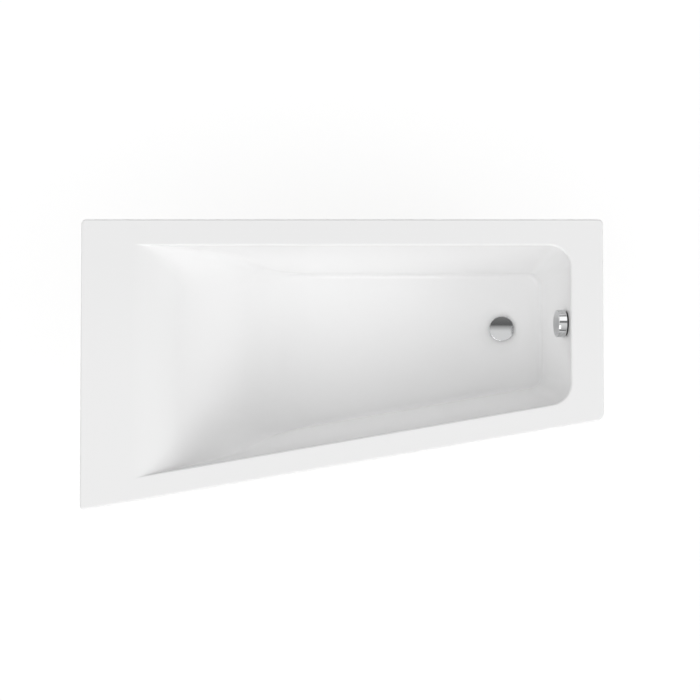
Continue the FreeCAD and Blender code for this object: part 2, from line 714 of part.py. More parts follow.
def outlet_pipe():
    """A plain spigot towards the wall, with a collar that stops the pipe pushed over it."""
    start = trap_points()[-1] + vec(0, JOINT_SEAL)
    end = start + vec(0, OUTLET_LENGTH)
    collar = start + vec(0, (UNION_LENGTH - JOINT_SEAL) / 2)
    outer = rod_between(DRAIN_PIPE_RADIUS, start, end)
    outer = outer.fuse(rod_between(COLLAR_RADIUS, collar, collar + vec(0, COLLAR_LENGTH)))
    return outer.cut(rod_between(DRAIN_PIPE_BORE, start, end))


def overflow_body():
    """The cup behind the foot wall, with a pipe socket, a cable boss and two screw bosses."""
    back = CUP_END + CUP_BACK
    flange = cylinder(CUP_FLANGE_RADIUS, CUP_FRONT - CUP_FLANGE_HEIGHT, CUP_FRONT)
    cup = cylinder(CUP_RADIUS, CUP_END, CUP_FRONT)
    axis = vec(0, 0, SOCKET_AXIS)
    stop = axis + vec(CUP_RADIUS + SOCKET_STOP, 0)
    mouth = axis + vec(SOCKET_REACH, 0)
    cable_start = vec(0, CABLE_OFFSET, CABLE_AXIS)
    cable_end = cable_start + vec(CUP_RADIUS + CABLE_BOSS_REACH, 0)
    outer = fused([flange, cup, rod_between(SOCKET_RADIUS, axis, mouth),
                   rod_between(CABLE_BOSS_RADIUS, cable_start, cable_end)])
    hollow = fused([cylinder(CUP_BORE, back, CUP_FRONT), rod_between(PIPE_BORE, axis, stop),
                    rod_between(PIPE_RADIUS, stop, mouth), rod_between(CABLE_BORE, cable_start, cable_end)])
    body = outer.cut(hollow)
    bosses = [cylinder(BOSS_RADIUS, back, back + BOSS_LENGTH, 0, y) for y in (-BOSS_ORBIT, BOSS_ORBIT)]
    pilots = [cylinder(TRIM_SCREW_RADIUS, back, back + BOSS_LENGTH, 0, y) for y in (-BOSS_ORBIT, BOSS_ORBIT)]
    return on_foot_wall(fused([body] + bosses).cut(Part.makeCompound(pilots)))


def overflow_trim():
    """The slotted plate inside the tub, whose hub is the spindle's bearing."""
    low = SHELL_CLEARANCE
    plate = revolved([(0, low), (TRIM_RADIUS, low), (TRIM_RADIUS, TRIM_FRONT - TRIM_ROUND),
                      (TRIM_RADIUS - TRIM_ROUND, TRIM_FRONT), (0, TRIM_FRONT)])
    hub = cylinder(HUB_RADIUS, TRIM_FRONT - HUB_LENGTH, TRIM_FRONT)
    slots = washer(TRIM_SLOT_OUTER, TRIM_SLOT_INNER, low - OVERRUN, TRIM_FRONT + OVERRUN)
    for index in range(TRIM_SPOKES):
        spoke = box_between(vec(0, -TRIM_SPOKE_WIDTH / 2, low - OVERRUN),
                            vec(TRIM_RADIUS, TRIM_SPOKE_WIDTH / 2, TRIM_FRONT + OVERRUN))
        spoke.rotate(vec(0, 0), vec(0, 0, 1), FULL_TURN * index / TRIM_SPOKES)
        slots = slots.cut(spoke)
    holes = [cylinder(TRIM_SCREW_RADIUS + THREAD_CLEARANCE, low, TRIM_FRONT, 0, y)
             for y in (-BOSS_ORBIT, BOSS_ORBIT)]
    bore = cylinder(SPINDLE_RADIUS + RUNNING_CLEARANCE, TRIM_FRONT - HUB_LENGTH, TRIM_FRONT)
    return on_foot_wall(plate.fuse(hub).cut(Part.makeCompound([slots, bore] + holes)))


def overflow_screw(y):
    low = TRIM_FRONT - TRIM_SCREW_LENGTH
    head = TRIM_FRONT + TRIM_SCREW_HEAD_HEIGHT
    screw = revolved([(0, low), (TRIM_SCREW_RADIUS, low + TRIM_SCREW_RADIUS), (TRIM_SCREW_RADIUS, TRIM_FRONT),
                      (TRIM_SCREW_HEAD, TRIM_FRONT), (TRIM_SCREW_RADIUS, head), (0, head)], 0, y)
    return on_foot_wall(screw)


def overflow_pipe():
    """Down behind the foot wall, round under the floor and into the waste body."""
    place = foot_wall_place()
    start = place.multVec(vec(CUP_RADIUS + SOCKET_STOP, 0, SOCKET_AXIS))
    lean = math.radians(FOOT_DRAFT)
    corner = start - vec((start.z - PORT_Z) * math.tan(lean), 0, start.z - PORT_Z)
    end = vec(DRAIN_X + BODY_RADIUS + SOCKET_STOP, DRAIN_Y, PORT_Z)
    path = bent_path([start, corner, end], [PIPE_BEND])
    return rod_along(path, PIPE_RADIUS).cut(rod_along(path, PIPE_BORE))


def cable_points():
    """Down beside the overflow pipe, under the floor and up into the pin guide."""
    start = foot_wall_place().multVec(vec(CUP_RADIUS + CABLE_BOSS_REACH, CABLE_OFFSET, CABLE_AXIS))
    drop = start.z - CABLE_LOW
    corner = start - vec(drop * math.tan(math.radians(FOOT_DRAFT)), 0, drop)
    return [start, corner, vec(DRAIN_X, DRAIN_Y, CABLE_LOW), vec(DRAIN_X, DRAIN_Y, BODY_BASE - GUIDE_DROP)]


def cable_sheath():
    points = cable_points()
    rise_bend = CABLE_RISE_SHARE * (points[-1] - points[-2]).Length
    return rod_along(bent_path(points, [CABLE_BEND, rise_bend]), CABLE_RADIUS)


def cable_clips():
    """Two clips that hold the cable beside the overflow pipe."""
    pipe_top = SOCKET_REACH
    start, corner = cable_points()[:2]
    free = (corner - start).Length - CABLE_BEND - pipe_top
    clips = []
    for share in CLIP_PLACE_SHARES:
        low = vec(pipe_top + share * free, 0, SOCKET_AXIS)
        high = low + vec(CLIP_HEIGHT, 0)
        aside = vec(0, CABLE_OFFSET, CABLE_AXIS - SOCKET_AXIS)
        solid = fused([rod_between(PIPE_RADIUS + CLIP_WALL, low, high),
                       rod_between(CABLE_RADIUS + CLIP_WALL, low + aside, high + aside)])
        solid = solid.cut(rod_between(PIPE_RADIUS, low, high))
        clips.append(on_foot_wall(solid.cut(rod_between(CABLE_RADIUS, low + aside, high + aside))))
    return Part.makeCompound(clips)


def overflow_knob():
    """A hollow round cap with a boss for the spindle."""
    rim = KNOB_RADIUS - KNOB_WALL
    face = KNOB_FRONT - KNOB_WALL
    front = KNOB_RADIUS - KNOB_TAPER
    cap = revolved([(0, KNOB_FRONT), (front - KNOB_ROUND, KNOB_FRONT), (front, KNOB_FRONT - KNOB_ROUND),
                    (KNOB_RADIUS, KNOB_GAP), (rim, KNOB_GAP), (rim - KNOB_TAPER, face), (0, face)])
    boss = washer(KNOB_BOSS_RADIUS, SPINDLE_RADIUS, face - KNOB_BOSS_LENGTH, face)
    return on_foot_wall(cap.fuse(boss))


def knob_spindle():
    face = KNOB_FRONT - KNOB_WALL
    collar_high = TRIM_FRONT - HUB_LENGTH - MOVING_CLEARANCE
    collar_low = collar_high - SPINDLE_COLLAR_LENGTH
    spindle = cylinder(SPINDLE_RADIUS, CAM_START, face)
    return on_foot_wall(spindle.fuse(cylinder(SPINDLE_COLLAR_RADIUS, collar_low, collar_high)))


def cable_cam():
    """A grooved disc on the spindle's end, which pays the cable out and in."""
    high = CAM_START + CAM_LENGTH
    disc = revolved([(SPINDLE_RADIUS, CAM_START), (CAM_RADIUS, CAM_START),
                     (CAM_RADIUS, CABLE_AXIS - CAM_GROOVE), (CAM_RADIUS - CAM_GROOVE, CABLE_AXIS),
                     (CAM_RADIUS, CABLE_AXIS + CAM_GROOVE), (CAM_RADIUS, high), (SPINDLE_RADIUS, high)])
    return on_foot_wall(disc)


def pin_span():
    low = BODY_BASE - GUIDE_DROP + PIN_INSET
    return low, low + PIN_LENGTH


def lift_pin():
    low, high = pin_span()
    return cylinder(PIN_RADIUS, low, high, DRAIN_X, DRAIN_Y)


def plug_seal():
    """A soft ring under the cover, bevelled like the seat that it closes."""
    high = FLANGE_TOP + COVER_GAP + COVER_RECESS
    low = high - PLUG_SEAL_HEIGHT
    nose = SHANK_BORE + SEAT_BEVEL + low - FLANGE_TOP - MOVING_CLEARANCE * math.sqrt(2)
    return revolved([(PLUG_SEAL_BORE, low), (nose, low), (nose + FLANGE_TOP - low, FLANGE_TOP),
                     (PLUG_SEAL_RADIUS, FLANGE_TOP + COVER_GAP / 2), (PLUG_SEAL_RADIUS, high),
                     (PLUG_SEAL_BORE, high)], DRAIN_X, DRAIN_Y)


def plug_stem():
    """The stem with a head that carries the seal, and fins that centre it in the shank."""
    low = pin_span()[1]
    high = FLANGE_TOP + COVER_GAP + COVER_RECESS
    seal_low = high - PLUG_SEAL_HEIGHT
    stem = cylinder(STEM_RADIUS, low, high, DRAIN_X, DRAIN_Y)
    head = cylinder(PLUG_SEAL_BORE, seal_low, high, DRAIN_X, DRAIN_Y)
    fin_high = FLANGE_TOP - SEAT_BEVEL - FIN_DROP + FIN_HEIGHT / 2
    fins = []
    for index in range(FIN_COUNT):
        fin = box_between(vec(DRAIN_X, DRAIN_Y - FIN_WIDTH / 2, fin_high - FIN_HEIGHT),
                          vec(DRAIN_X + SHANK_BORE - MOVING_CLEARANCE, DRAIN_Y + FIN_WIDTH / 2, fin_high))
        fin.rotate(vec(DRAIN_X, DRAIN_Y), vec(0, 0, 1), FULL_TURN * index / FIN_COUNT)
        fins.append(fin)
    return fused([stem, head] + fins)


def on_arc(centre, radius, turn):
    """The point of an upright arc that lies a turn away from straight above its centre."""
    return centre + vec(radius * math.sin(turn), 0, radius * math.cos(turn))


def plug_cover():
    """The polished cover over the waste: a shallow dome, a rounded shoulder and a thin edge."""
    low = FLANGE_TOP + COVER_GAP
    recess = low + COVER_RECESS
    border = COVER_RADIUS - COVER_BORDER
    lean = math.radians(COVER_SLOPE)
    upright = math.radians(QUARTER_TURN)
    shoulder = vec(DRAIN_X + COVER_RADIUS - COVER_SHOULDER, DRAIN_Y, low + COVER_EDGE)
    edge = [on_arc(shoulder, COVER_SHOULDER, turn) for turn in (upright, (upright + lean) / 2, lean)]
    sphere = (edge[-1].x - DRAIN_X) / math.sin(lean)
    centre = vec(DRAIN_X, DRAIN_Y, edge[-1].z - sphere * math.cos(lean))
    dome = [on_arc(centre, sphere, turn) for turn in (lean, lean / 2, 0)]
    under = [vec(DRAIN_X + radius, DRAIN_Y, z)
             for radius, z in ((0, recess), (border, recess), (border, low), (COVER_RADIUS, low))]
    points = [dome[-1]] + under + [edge[0]]
    edges = [Part.LineSegment(start, end).toShape() for start, end in zip(points, points[1:])]
    edges += [Part.Arc(*edge).toShape(), Part.Arc(*dome).toShape()]
    return Part.Face(Part.Wire(edges)).revolve(vec(DRAIN_X, DRAIN_Y), vec(0, 0, 1), FULL_TURN)


def frame_nodes():
    """The shell's board, battens, rails, fixings and the four levelling feet."""
    nodes = {"base_board": base_board()}
    nodes.update(rim_battens())
    screws = []
    weld_nuts = []
    lock_nuts = []
    bore = ROD_RADIUS + ROD_CLEARANCE
    for end, rail_x in zip(("head", "foot"), rail_places()):
        nodes["leg_rail_" + end] = leg_rail(rail_x)
        screws += [rail_screw(x, y) for x, y in screw_places(rail_x)]
        for side, y in zip(("front", "back"), foot_places(rail_x)):
            weld_nuts.append(nut(bore, RAIL_TOP - RAIL_SHEET - NUT_HEIGHT, rail_x, y))
            lock_nuts.append(nut(bore, RAIL_TOP, rail_x, y))
            nodes["foot_rod_%s_%s" % (end, side)] = foot_rod(rail_x, y)
            nodes["foot_pad_%s_%s" % (end, side)] = foot_pad(rail_x, y)
    nodes["rail_screws"] = Part.makeCompound(screws)
    nodes["weld_nuts"] = Part.makeCompound(weld_nuts)
    nodes["lock_nuts"] = Part.makeCompound(lock_nuts)
    return nodes


def waste_nodes():
    """The waste fitting, its trap and the outlet towards the wall."""
    shank = SHANK_RADIUS + SEAL_CLEARANCE
    points = trap_points()
    return {
        "waste_flange": waste_flange(),
        "waste_flange_seal": washer(FLANGE_RADIUS, shank, SEAT_Z, FLANGE_Z, DRAIN_X, DRAIN_Y),
        "waste_lower_seal": washer(LOWER_SEAL_RADIUS, shank, BODY_TOP, SEAT_Z - WALL, DRAIN_X, DRAIN_Y),
        "waste_body": waste_body(),
        "trap_seal": pipe_ring(points[0] - vec(0, JOINT_SEAL)),
        "trap_nut": union_nut(points[0] - vec(0, JOINT_SEAL / 2)),
        "trap_bend": trap_bend(),
        "trap_cleaning_plug": cleaning_plug(),
        "outlet_seal": pipe_ring(points[-1]),
        "outlet_nut": union_nut(points[-1] + vec(0, JOINT_SEAL / 2)),
        "outlet_pipe": outlet_pipe(),
    }


def overflow_nodes():
    """The overflow fitting, its pipe, and the knob that works the plug by cable."""
    seal = washer(OVERFLOW_SEAL_RADIUS, OVERFLOW_HOLE, CUP_FRONT, WALL_BACK)
    screws = [overflow_screw(y) for y in (-BOSS_ORBIT, BOSS_ORBIT)]
    return {
        "overflow_body": overflow_body(),
        "overflow_seal": on_foot_wall(seal),
        "overflow_trim": overflow_trim(),
        "overflow_screws": Part.makeCompound(screws),
        "overflow_pipe": overflow_pipe(),
        "cable_sheath": cable_sheath(),
        "cable_clips": cable_clips(),
        "overflow_knob": overflow_knob(),
        "knob_spindle": knob_spindle(),
        "cable_cam": cable_cam(),
    }


def plug_nodes():
    return {
        "lift_pin": lift_pin(),
        "plug_cover": plug_cover(),
        "plug_stem": plug_stem(),
        "plug_seal": plug_seal(),
    }


def main():
    nodes = {"tub_shell": tub_shell()}
    for group in (frame_nodes(), waste_nodes(), overflow_nodes(), plug_nodes()):
        nodes.update(group)
    os.makedirs("parts", exist_ok=True)
    for name, shape in nodes.items():
        shape.exportStep(os.path.join("parts", name + ".step"))


main()
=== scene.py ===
import json
import math

import bmesh
import bpy
import numpy as np
from mathutils import Matrix, Vector


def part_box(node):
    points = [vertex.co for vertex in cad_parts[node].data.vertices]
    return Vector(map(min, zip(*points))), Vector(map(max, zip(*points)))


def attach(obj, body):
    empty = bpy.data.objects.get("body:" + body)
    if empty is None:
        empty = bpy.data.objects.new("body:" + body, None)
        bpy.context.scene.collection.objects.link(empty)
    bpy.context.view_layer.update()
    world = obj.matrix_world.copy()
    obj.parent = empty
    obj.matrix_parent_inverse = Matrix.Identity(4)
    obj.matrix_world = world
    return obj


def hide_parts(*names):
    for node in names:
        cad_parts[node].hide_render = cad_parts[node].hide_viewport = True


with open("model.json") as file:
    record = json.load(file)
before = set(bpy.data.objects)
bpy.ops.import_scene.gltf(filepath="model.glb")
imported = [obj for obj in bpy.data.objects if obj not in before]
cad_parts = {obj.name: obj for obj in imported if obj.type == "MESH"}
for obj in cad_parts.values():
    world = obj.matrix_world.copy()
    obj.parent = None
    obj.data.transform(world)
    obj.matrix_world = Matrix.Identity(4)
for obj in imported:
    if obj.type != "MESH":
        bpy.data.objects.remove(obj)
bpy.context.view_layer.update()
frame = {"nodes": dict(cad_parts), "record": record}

# An asymmetric corner bathtub in white acrylic, seen from above in a white studio. Metres.

# Camera that gives the photograph's frame
LENS = 72.0
SENSOR = 36.0
CAMERA_PLACE = (0.024, -0.084, 4.877)
CAMERA_TILT = 1.70
CAMERA_CLIP = 100.0

# Shell: rim
LENGTH = 1.600
HEAD_WIDTH = 0.890
FOOT_WIDTH = 0.613
RIM_HEIGHT = 0.600
WALL = 0.006
LIP_DROP = 0.040
LIP_EDGE = 0.005
LIP_FOOT = 0.0015
RIM_BACK = 0.075
RIM_FRONT = 0.0665
RIM_FOOT = 0.0955
RIM_HEAD = 0.158
WALL_CORNER = 0.015
HEAD_FRONT_CORNER = 0.012
FOOT_FRONT_CORNER = 0.024
# Chamfer of the edges that hardly show, and the least corner of a loop there
LIP_NICK = 0.0005

# Shell: basin, drafts in degrees from upright
BASIN_DEPTH = 0.420
RIM_ROLL = 0.005
WALL_DRAFT = 7.5
FOOT_DRAFT = 5.0
FLOOR_FILLET = 0.018
CREST_ROLL = 0.170
BACKREST_DRAFT = 38.0
LUMBAR_FILLET = 0.260
FOOT_CORNER = 0.070
HEAD_CORNER = 0.004
FLOOR_CORNER = 0.040
CORNER_SWELL = 0.100
# The highest value of the swell's curve, s * (1 - s) ** 2
SWELL_PEAK = 4 / 27

# Shell: drain dish and overflow
DRAIN_FROM_FOOT = 0.267
DRAIN_FROM_BACK = 0.317
DISH_RADIUS = 0.084
DISH_DEPTH = 0.005
DISH_FLAT = 0.0376
SEAT_RADIUS = 0.047
WASTE_HOLE = 0.026
OVERFLOW_DEPTH = 0.065
OVERFLOW_HOLE = 0.027

# Shell: points of a loop, loops on each stretch, and places of loops across the flats as shares
ARC_POINTS = 18
SIDE_POINTS = 30
ROLL_RINGS = 10
WALL_RINGS = 64
FILLET_RINGS = 16
DISH_RINGS = 14
EDGE_RINGS = 7
FLOOR_SHARES = (0.03, 0.1, 0.25, 0.45, 0.65, 0.85, 0.97)
RIM_SHARES = (0.02, 0.2, 0.5, 0.8, 0.98)
UNDER_RIM_SHARES = (0.3, 0.7, 0.97)
UNDER_FLOOR_SHARES = (0.15, 0.5, 0.9)

# Turned pieces: plug cover and knob
TURN_POINTS = 128
ROUND_POINTS = 6
SHOULDER_POINTS = 14
DOME_POINTS = 40
FINE_ROUND = 0.0004
COVER_RADIUS = 0.042
COVER_EDGE = 0.0022
COVER_EDGE_ROUND = 0.0006
COVER_SHOULDER = 0.002
COVER_SLOPE = 5.5
COVER_RECESS = 0.0014
COVER_BORDER = 0.003
KNOB_RADIUS = 0.044
KNOB_GAP = 0.006
KNOB_LENGTH = 0.0245
KNOB_TAPER = 0.0023
KNOB_WALL = 0.003
KNOB_ROUND = 0.002
KNOB_EDGE_ROUND = 0.0005
KNOB_INNER_ROUND = 0.001
KNOB_BOSS_RADIUS = 0.008
KNOB_BOSS_LENGTH = 0.011
SPINDLE_RADIUS = 0.004
# Faces of the knob count as its front where their normals are this close to its axis, as a cosine
FRONT_FACING = 0.999

# Rods of the levelling feet; the chamfer at their upper ends is a share of the radius
THREAD_PITCH = 0.0015
THREAD_DEPTH = 0.0009
THREAD_POINTS = 28
THREAD_LEVELS = 6
ROD_CHAMFER = 0.25

# Meshes: angle of a sharp edge in degrees, distance of points that are joined, bend in radians that is
# too slight to round, and the most of a side that the arc at one of its ends takes up
SMOOTH_ANGLE = 40.0
WELD_DISTANCE = 1e-6
LEAST_BEND = 0.01
ARC_SHARE = 0.49

# Finishes: plain colours, and shades of those with a grain
ACRYLIC = (0.98, 0.98, 0.98)
ACRYLIC_IOR = 1.3
CHROME = (0.60, 0.605, 0.61)
LAMINATE = (0.76, 0.75, 0.69)
LAMINATE_DARK = (0.60, 0.585, 0.52)
LAMINATE_PALE = (0.83, 0.825, 0.78)
CHIPBOARD = (0.62, 0.48, 0.31)
CHIPBOARD_DARK = (0.36, 0.25, 0.14)
CHIPBOARD_MIDDLE = (0.58, 0.44, 0.27)
CHIPBOARD_PALE = (0.70, 0.56, 0.37)
SOFTWOOD = (0.66, 0.52, 0.34)
SOFTWOOD_DARK = (0.50, 0.35, 0.19)
SOFTWOOD_MIDDLE = (0.66, 0.51, 0.32)
SOFTWOOD_PALE = (0.74, 0.60, 0.40)
GALVANISED = (0.55, 0.57, 0.59)
GALVANISED_DARK = (0.44, 0.46, 0.48)
GALVANISED_PALE = (0.64, 0.66, 0.68)
# Factors on the colour of plain metals and plastics at two levels of their noise, and on a metal's
# roughness where its noise is 0 and 1
TINT_PLACES = (0.3, 0.7)
METAL_TINTS = (0.88, 1.06)
PLASTIC_TINTS = (0.93, 1.05)
METAL_ROUGH = (1.25, 0.8)
# Metals by name: colour and roughness
METALS = {
    "zinc_steel": ((0.63, 0.63, 0.60), 0.32),
    "stainless": ((0.55, 0.55, 0.55), 0.28),
    "brass": ((0.66, 0.50, 0.24), 0.3),
}
# Plastics and rubber by name: colour, roughness, and the grain's scale and depth
PLASTICS = {
    "black_plastic": ((0.03, 0.03, 0.032), 0.5, 900.0, 0.0002),
    "grey_plastic": ((0.33, 0.34, 0.35), 0.45, 900.0, 0.0001),
    "white_plastic": ((0.78, 0.78, 0.76), 0.38, 700.0, 0.00006),
    "rubber": ((0.035, 0.035, 0.035), 0.7, 1200.0, 0.0002),
    "cable_black": ((0.03, 0.03, 0.03), 0.42, 1500.0, 0.0001),
}

# Studio: soft light from (azimuth, elevation) in degrees, with its strength
SOFT_POWER = 12.0
SOFTBOXES = (
    (135, 62, 0.4), (-135, 62, 1.3), (-45, 62, 0.3), (30, 35, 0.9), (90, 35, 0.8),
    (150, 35, 0.2), (180, 35, 0.1), (-150, 35, 1.4), (-90, 35, 1.4), (-30, 35, 2.6),
)
# The background's level where it is seen
WHITE = 1.0
# Floor: where it is seen it has a shade of its own and lets the rest through; for other light it is pale
FLOOR_SIZE = 14.0
FLOOR_DROP = 0.0003
FLOOR_SHADE = 0.22
FLOOR_CLEAR = 0.84
FLOOR_PALE = 0.85
# Cards overhead that only mirrors see: their sides in X, height, and levels of grey at places in Y
CARDS = {
    "studio_back_card": (-3.5, 5.5, 6.5, (
        (0.16, 1.0), (0.743, 0.37), (0.776, 0.15), (1.65, 0.27), (2.3, 0.5), (2.6, 1.6),
        (9.0, 1.6), (10.0, 0.35), (16.0, 0.35),
    )),
    "studio_front_card": (-3.5, 5.5, 6.5, ((-14.0, 0.15), (-10.6, 0.15), (-10.2, 0.42), (-1.2, 1.0))),
    "studio_strip": (-3.5, 0.95, 6.4, ((-6.0, 6.0), (-2.0, 6.0))),
}


# Meshes

def add_mesh(name, verts, faces):
    mesh = bpy.data.meshes.new(name)
    mesh.from_pydata([tuple(v) for v in verts], [], faces)
    mesh.update()
    obj = bpy.data.objects.new(name, mesh)
    bpy.context.scene.collection.objects.link(obj)
    return obj


def smooth(obj):
    obj.data.shade_smooth()
    obj.data.set_sharp_from_angle(angle=math.radians(SMOOTH_ANGLE))


def weld(obj):
    """Joins points that coincide, turns the faces outwards and smooths them."""
    bm = bmesh.new()
    bm.from_mesh(obj.data)
    bmesh.ops.remove_doubles(bm, verts=bm.verts, dist=WELD_DISTANCE)
    bmesh.ops.recalc_face_normals(bm, faces=bm.faces)
    bm.to_mesh(obj.data)
    bm.free()
    smooth(obj)


def cut(obj, cutter):
    """Cuts the shape of one object out of another and removes the cutter."""
    hole = obj.modifiers.new(cutter.name, "BOOLEAN")
    hole.object = cutter
    hole.operation = "DIFFERENCE"
    hole.solver = "EXACT"
    graph = bpy.context.evaluated_depsgraph_get()
    mesh = bpy.data.meshes.new_from_object(obj.evaluated_get(graph))
    obj.modifiers.clear()
    obj.data = mesh
    bpy.data.objects.remove(cutter)


def band_faces(count, rings, closed=False):
    """Quads between rings of the same number of points; closed joins the last ring to the first."""
    faces = []
    for ring in range(rings if closed else rings - 1):
        low = ring * count
        high = (ring + 1) % rings * count
        for i in range(count):
            k = (i + 1) % count
            faces.append((low + i, low + k, high + k, high + i))
    return faces


def level_ring(radius, angles, z, centre=(0, 0)):
    """Points round a centre; the radius is one number, or one for each angle."""
    x = centre[0] + radius * np.cos(angles)
    y = centre[1] + radius * np.sin(angles)
    return np.column_stack([x, y, np.full(len(angles), z)])


def turned(name, profile, place):
    """A profile of (radius, height) points turned about Z and put in its place."""
    angles = np.linspace(0, 2 * math.pi, TURN_POINTS, endpoint=False)
    rings = [level_ring(radius, angles, z) for radius, z in profile]
    obj = add_mesh(name, np.concatenate(rings), band_faces(TURN_POINTS, len(rings)))
    weld(obj)
    obj.data.transform(place)
    return obj


def profile_arc(r, z, radius, turns):
    """Points of a profile on an arc about (r, z), each turned outwards from straight up."""
    return [(r + radius * math.sin(turn), z + radius * math.cos(turn)) for turn in turns]


def rounded(profile, radii):
    """A profile with its corners turned into arcs, one radius for each inner point."""
    out = [profile[0]]
    for before, corner, after, radius in zip(profile, profile[1:], profile[2:], radii):
        p = np.array(corner, float)
        a = np.array(before, float) - p
        b = np.array(after, float) - p
        a_length, b_length = np.linalg.norm(a), np.linalg.norm(b)
        a, b = a / a_length, b / b_length
        half = math.acos(max(-1.0, min(1.0, float(a @ b)))) / 2
        if radius <= 0 or half > math.pi / 2 - LEAST_BEND:
            out.append(tuple(p))
            continue
        reach = min(radius / math.tan(half), a_length * ARC_SHARE, b_length * ARC_SHARE)
        radius = reach * math.tan(half)
        centre = p + (a + b) / np.linalg.norm(a + b) * (radius / math.sin(half))
        first = p + a * reach - centre
        last = p + b * reach - centre
        for step in np.linspace(0, 1, ROUND_POINTS):
            mix = first * (1 - step) + last * step
            out.append(tuple(centre + mix / np.linalg.norm(mix) * radius))
    out.append(profile[-1])
    return out


# Shell

FRONT_SLOPE = (HEAD_WIDTH - FOOT_WIDTH) / LENGTH
FRONT_ROUNDING = HEAD_FRONT_CORNER * (FRONT_SLOPE + math.hypot(1, FRONT_SLOPE) - 1)
BACK_Y = (HEAD_WIDTH - FRONT_ROUNDING) / 2
DRAIN_X = LENGTH / 2 - DRAIN_FROM_FOOT
DRAIN_Y = BACK_Y - DRAIN_FROM_BACK
FLOOR_Z = RIM_HEIGHT - BASIN_DEPTH
SEAT_Z = FLOOR_Z - DISH_DEPTH
RIM_CORNERS = (HEAD_FRONT_CORNER, FOOT_FRONT_CORNER, WALL_CORNER, WALL_CORNER)


def front_line(x, inset):
    """Y of the slanting front side at a place along the tub, drawn in by an inset."""
    return BACK_Y - HEAD_WIDTH + (x + LENGTH / 2) * FRONT_SLOPE + inset * math.hypot(1, FRONT_SLOPE)


def plan_corners(back, foot, front, head):
    """Corners of the tub's plan with each side drawn in by its own inset, from the front at the head."""
    head_x, foot_x, back_y = head - LENGTH / 2, LENGTH / 2 - foot, BACK_Y - back
    return np.array([(head_x, front_line(head_x, front)), (foot_x, front_line(foot_x, front)),
                     (foot_x, back_y), (head_x, back_y)])


def outline(corners, radii, z):
    """A closed level loop: an arc at each corner and evenly spaced points along each side."""
    arcs = []
    for i, (corner, radius) in enumerate(zip(corners, radii)):
        a = corners[i - 1] - corner
        b = corners[(i + 1) % len(corners)] - corner
        a, b = a / np.linalg.norm(a), b / np.linalg.norm(b)
        half = math.acos(float(np.clip(a @ b, -1, 1))) / 2
        centre = corner + (a + b) / np.linalg.norm(a + b) * (radius / math.sin(half))
        start = corner + a * (radius / math.tan(half)) - centre
        end = corner + b * (radius / math.tan(half)) - centre
        first = math.atan2(start[1], start[0])
        swing = (math.atan2(end[1], end[0]) - first + math.pi) % (2 * math.pi) - math.pi
        turn = first + swing * np.linspace(0, 1, ARC_POINTS)
        arcs.append(centre + radius * np.column_stack([np.cos(turn), np.sin(turn)]))
    shares = np.linspace(0, 1, SIDE_POINTS + 2)[1:-1, None]
    loop = []
    for i, arc in enumerate(arcs):
        loop += [arc, arc[-1] + (arcs[(i + 1) % len(arcs)][0] - arc[-1]) * shares]
    loop = np.concatenate(loop)
    return np.column_stack([loop, np.full(len(loop), z)])


def wall_run(depth, offset, roll, draft, fillet):
    """How far a basin wall has run in at a depth: roll at the rim, straight draft, fillet to the floor."""
    lean = math.radians(draft)
    roll_radius = max(roll - offset, 0)
    if depth < roll - roll_radius * math.sin(lean):
        return math.sqrt(max(roll_radius ** 2 - (roll - depth) ** 2, 0))
    fillet_radius = fillet + offset
    centre = BASIN_DEPTH - fillet
    turn = centre + fillet_radius * math.sin(lean)
    straight = min(depth, turn) - roll * (1 - math.sin(lean))
    run = roll * math.cos(lean) + straight * math.tan(lean) - offset / math.cos(lean)
    if depth > turn:
        across = math.sqrt(max(fillet_radius ** 2 - (depth - centre) ** 2, 0))
        run += fillet_radius * math.cos(lean) - across
    return run


def basin_ring(depth, offset):
    """The basin's loop at a depth, on a skin that lies an offset behind the shown one."""
    side = wall_run(depth, offset, RIM_ROLL, WALL_DRAFT, FLOOR_FILLET)
    foot = wall_run(depth, offset, RIM_ROLL, FOOT_DRAFT, FLOOR_FILLET)
    head = wall_run(depth, offset, CREST_ROLL, BACKREST_DRAFT, LUMBAR_FILLET)
    sunk = max(depth - offset, 0) / BASIN_DEPTH
    swell = CORNER_SWELL * sunk * (1 - sunk) ** 2 / SWELL_PEAK
    head_radius = HEAD_CORNER + (FLOOR_CORNER - HEAD_CORNER) * sunk + swell + offset
    foot_radius = FOOT_CORNER + (FLOOR_CORNER - FOOT_CORNER) * sunk + offset
    corners = plan_corners(RIM_BACK + side, RIM_FOOT + foot, RIM_FRONT + side, RIM_HEAD + head)
    radii = (head_radius, foot_radius, foot_radius, head_radius)
    return outline(corners, radii, RIM_HEIGHT - depth)


def ring_depths(offset):
    """Depths of the basin's loops, from the rim down: roll, straight wall, fillet."""
    wall_turn = math.radians(90 - WALL_DRAFT)
    roll = max(RIM_ROLL - offset, 0)
    centre = BASIN_DEPTH - FLOOR_FILLET
    radius = FLOOR_FILLET + offset
    rolls = [RIM_ROLL - roll * math.cos(turn) for turn in np.linspace(0, wall_turn, ROLL_RINGS + 1)]
    rolls[0] = offset
    fillets = [centre + radius * math.cos(turn) for turn in np.linspace(wall_turn, 0, FILLET_RINGS + 1)]
    walls = np.linspace(rolls[-1], fillets[0], WALL_RINGS)
    return [*rolls, *walls[1:], *fillets[1:]]


def rim_loop(inset, z):
    radii = [max(corner - inset, LIP_NICK) for corner in RIM_CORNERS]
    return outline(plan_corners(inset, inset, inset, inset), radii, z)


def drain_loop(like, radius, z):
    """A circle round the drain with a point in the direction of each point of another loop."""
    turn = np.arctan2(like[:, 1] - DRAIN_Y, like[:, 0] - DRAIN_X)
    return level_ring(radius, turn, z, (DRAIN_X, DRAIN_Y))


def between(first, last, shares):
    return [first + (last - first) * share for share in shares]


